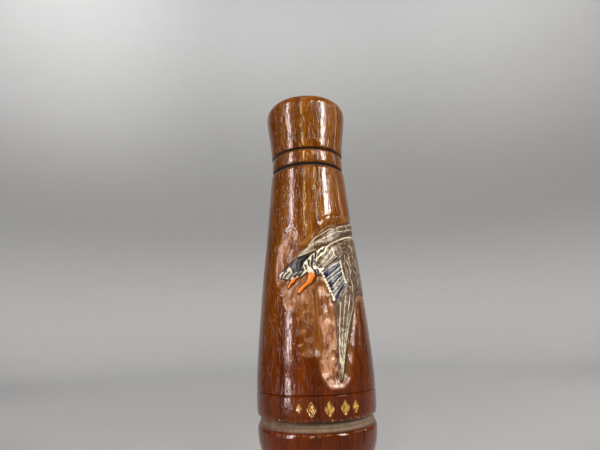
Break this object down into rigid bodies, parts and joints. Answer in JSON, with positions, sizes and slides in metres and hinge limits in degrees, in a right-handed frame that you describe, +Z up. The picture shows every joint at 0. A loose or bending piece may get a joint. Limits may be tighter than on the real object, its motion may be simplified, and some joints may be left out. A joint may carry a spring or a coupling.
{
  "type": "duck call",
  "caption": "Turned wooden duck call: carved and painted barrel with a flared mouthpiece over a stopper that holds the reeds.",
  "frame": {"origin": "centre of the stopper's foot, on the surface that the call stands on", "axes": "+Z up the call to the mouthpiece; -Y faces the side with the carved duck's tail and wing; +X to its right"},
  "size_m": [0.032, 0.032, 0.1383],
  "materials": {
    "barrel_wood": "glossy varnish over carved and painted wood",
    "stopper_wood": "glossy varnish",
    "tone_board_wood": "bare, smooth",
    "reed_film": "clear satin film",
    "wedge_cork": "cork, matte",
    "seal_rubber": "satin"
  },
  "bodies": {
    "stopper_body": {"stopper": "stopper_wood", "tone_board": "tone_board_wood", "reed_wedge": "wedge_cork"},
    "seal_rings": {"tenon_seal_front": "seal_rubber", "tenon_seal_rear": "seal_rubber"},
    "barrel_body": {"barrel": "barrel_wood"},
    "reeds": {"long_reed": "reed_film", "short_reed": "reed_film"}
  },
  "joints": [
    {"name": "barrel_turn", "type": "hinge", "parent": "stopper_body", "child": "seal_rings", "pos_m": [0, 0, 0.05], "axis": [0, 0, 1], "continuous": true},
    {"name": "barrel_pull", "type": "slide", "parent": "seal_rings", "child": "barrel_body", "axis": [0, 0, 1], "range_m": [0, 0.065]},
    {"name": "reed_flex", "type": "hinge", "parent": "stopper_body", "child": "reeds", "pos_m": [0, 0, 0.076], "axis": [1, 0, 0], "range_deg": [-1.5, 2], "stiffness_Nm_per_rad": 0.015, "deforming": ["long_reed", "short_reed"]}
  ]
}
